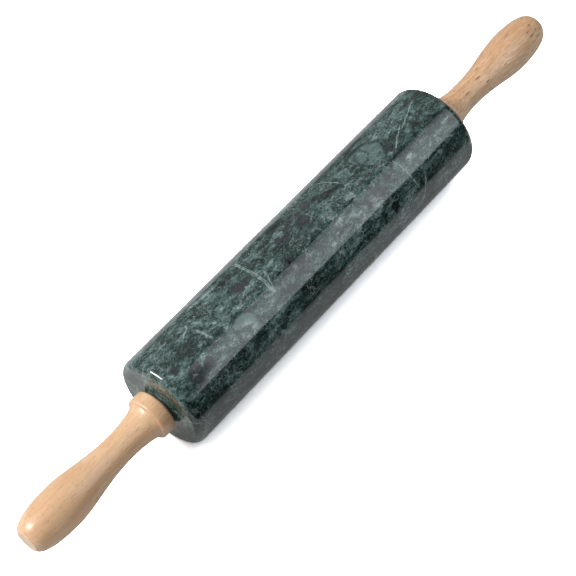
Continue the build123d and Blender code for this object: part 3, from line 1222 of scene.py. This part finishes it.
def floor_paint():
    """White floor that keeps the pin's shadow and, to a mirror, ends a little way out on each side."""
    material = bpy.data.materials.new("white_floor_paint")
    tree = blank_tree(material)
    looked_at, camera_ray = seen(tree)
    side = put("SeparateXYZ", {0: put("TexCoord", {}, tree).outputs["Object"]}).outputs[1]
    behind = between(side, SWEEP_START, SWEEP_END, 1.0, DIM_BEHIND)
    before = between(side, -SWEEP_END, -SWEEP_START, DIM_BEFORE, 1.0)
    mirrored = times(times(behind, before), FLOOR_IN_MIRROR)
    in_mirror = times(maths("SUBTRACT", looked_at, camera_ray), mirrored)
    lighting = times(maths("SUBTRACT", 1.0, looked_at), FLOOR_COLOUR)
    nearby = {"Distance": CONTACT, "Normal": TO_KEY}
    open_sky = put("AmbientOcclusion", nearby, tree, samples=CONTACT_SAMPLES).outputs["AO"]
    to_camera = times(times(camera_ray, FLOOR_TO_CAMERA), open_sky)
    white = maths("ADD", to_camera, maths("ADD", in_mirror, lighting))
    grey = put("CombineColor", {0: white, 1: white, 2: white}).outputs[0]
    diffuse = put("BsdfDiffuse", {"Color": grey})
    glow = times(in_mirror, FLOOR_GLOW)
    lit = put("Emission", {"Color": (1, 1, 1, 1), "Strength": glow})
    paint = put("AddShader", {0: diffuse.outputs[0], 1: lit.outputs[0]})
    put("OutputMaterial", {"Surface": paint.outputs[0]})
    return material


bpy.ops.object.select_all(action="DESELECT")
bpy.ops.mesh.primitive_plane_add(size=FLOOR_SIZE, location=(0, 0, barrel_low.z))
floor = bpy.context.object
floor.name = "white_floor"
finish_with(floor, floor_paint())
print("floor at", round(floor.location.z, 4), "m")

# %% [markdown]
# A compact key light stands at the upper left and behind, where it gives the handles their shine. A
# long softbox over the near side is the grey band along the barrel. It is dimmer towards one long
# edge, as a real box lit from the other edge is. `strength` is what its face would look like in a
# mirror, so a larger box gives more light at the same strength.

# %% Lamps
KEY_AZIMUTH, KEY_ELEVATION, KEY_DISTANCE = 138, 44.5, 2.4
KEY_SIZE, KEY_STRENGTH = (0.66, 1.20), 22.3
BOX_ANGLE, BOX_DISTANCE, BOX_ALONG = 124, 1.3, 0.68
BOX_SIZE, BOX_STRENGTH = (0.62, 1.27), 2.05
BOX_FADE, BOX_DIM = 0.3, 0.5
BOX_COLOUR = (0.96, 1.0, 1.06)


def softbox(name, place_at, size, strength, aim=(0, 0, 0)):
    """Area lamp of this radiance that faces the pin and that the camera doesn't see."""
    data = bpy.data.lights.new(name, "AREA")
    data.shape = "RECTANGLE"
    data.size, data.size_y = size
    data.energy = strength * math.pi * size[0] * size[1]
    lamp = bpy.data.objects.new(name, data)
    bpy.context.scene.collection.objects.link(lamp)
    lamp.location = place_at
    toward = (Vector(aim) - Vector(place_at)).normalized()
    along = Vector((1, 0, 0))
    side = (along - along.dot(toward) * toward).normalized()
    turn = Matrix((side, toward.cross(side), -toward)).transposed()
    lamp.matrix_world = Matrix.Translation(place_at) @ turn.to_4x4()
    lamp.visible_camera = False
    return lamp


def fading(lamp, share, dim):
    """Make a lamp dim at one long edge and full from this share of the way across."""
    tree = blank_tree(lamp.data)
    across = put("SeparateXYZ", {0: put("NewGeometry", {}, tree).outputs["Parametric"]}).outputs[1]
    inputs = {"Value": across, "From Min": 0.0, "From Max": share, "To Min": dim, "To Max": 1.0}
    strength = put("MapRange", inputs).outputs[0]
    glow = put("Emission", {"Color": (*BOX_COLOUR, 1), "Strength": strength})
    put("OutputLight", {"Surface": glow.outputs[0]})


key_place = direction(KEY_AZIMUTH, KEY_ELEVATION) * KEY_DISTANCE
key = softbox("key_light", key_place, KEY_SIZE, KEY_STRENGTH)
box_angle = math.radians(BOX_ANGLE)
box_place = (BOX_ALONG, BOX_DISTANCE * math.cos(box_angle), BOX_DISTANCE * math.sin(box_angle))
side_box = softbox("long_softbox", box_place, BOX_SIZE, BOX_STRENGTH, aim=(BOX_ALONG, 0, 0))
fading(side_box, BOX_FADE, BOX_DIM)
for lamp in (key, side_box):
    print(lamp.name, round(lamp.data.energy, 1), "W")

# %% [markdown]
# The world is the rest of the room. The camera sees it plain white. In the stone's mirror it is a
# dim wall, brighter higher up, that ends in the dark above, and only a soft ceiling lights the pin.

# %% Studio walls
WALL_RISE = (4.0, 16.0, 0.3, 0.45)
WALL_END = (84.0, 97.0, 1.0, 0.10)
CEILING = (0.70, 0.95, 0.04, 0.62)


def studio():
    """White studio to the camera, and walls of light and dark to a mirror."""
    world = bpy.data.worlds.new("white_studio")
    bpy.context.scene.world = world
    tree = blank_tree(world)
    facing = put("SeparateXYZ", {0: put("TexCoord", {}, tree).outputs["Generated"]})
    angle = maths("ARCTAN2", facing.outputs[2], facing.outputs[1])
    degrees = times(angle, math.degrees(1))
    bright = times(between(degrees, *WALL_RISE), between(degrees, *WALL_END))
    looked_at, camera_ray = seen(tree)
    ceiling = between(facing.outputs[2], *CEILING)
    fill = times(maths("SUBTRACT", 1.0, looked_at), ceiling)
    light = maths("ADD", times(bright, looked_at), fill)
    strength = maths("MAXIMUM", light, camera_ray)
    back = put("Background", {"Color": (1, 1, 1, 1), "Strength": strength})
    put("OutputWorld", {"Surface": back.outputs[0]})


studio()
bpy.context.scene.view_settings.view_transform = "Standard"
print("world:", bpy.context.scene.world.name)
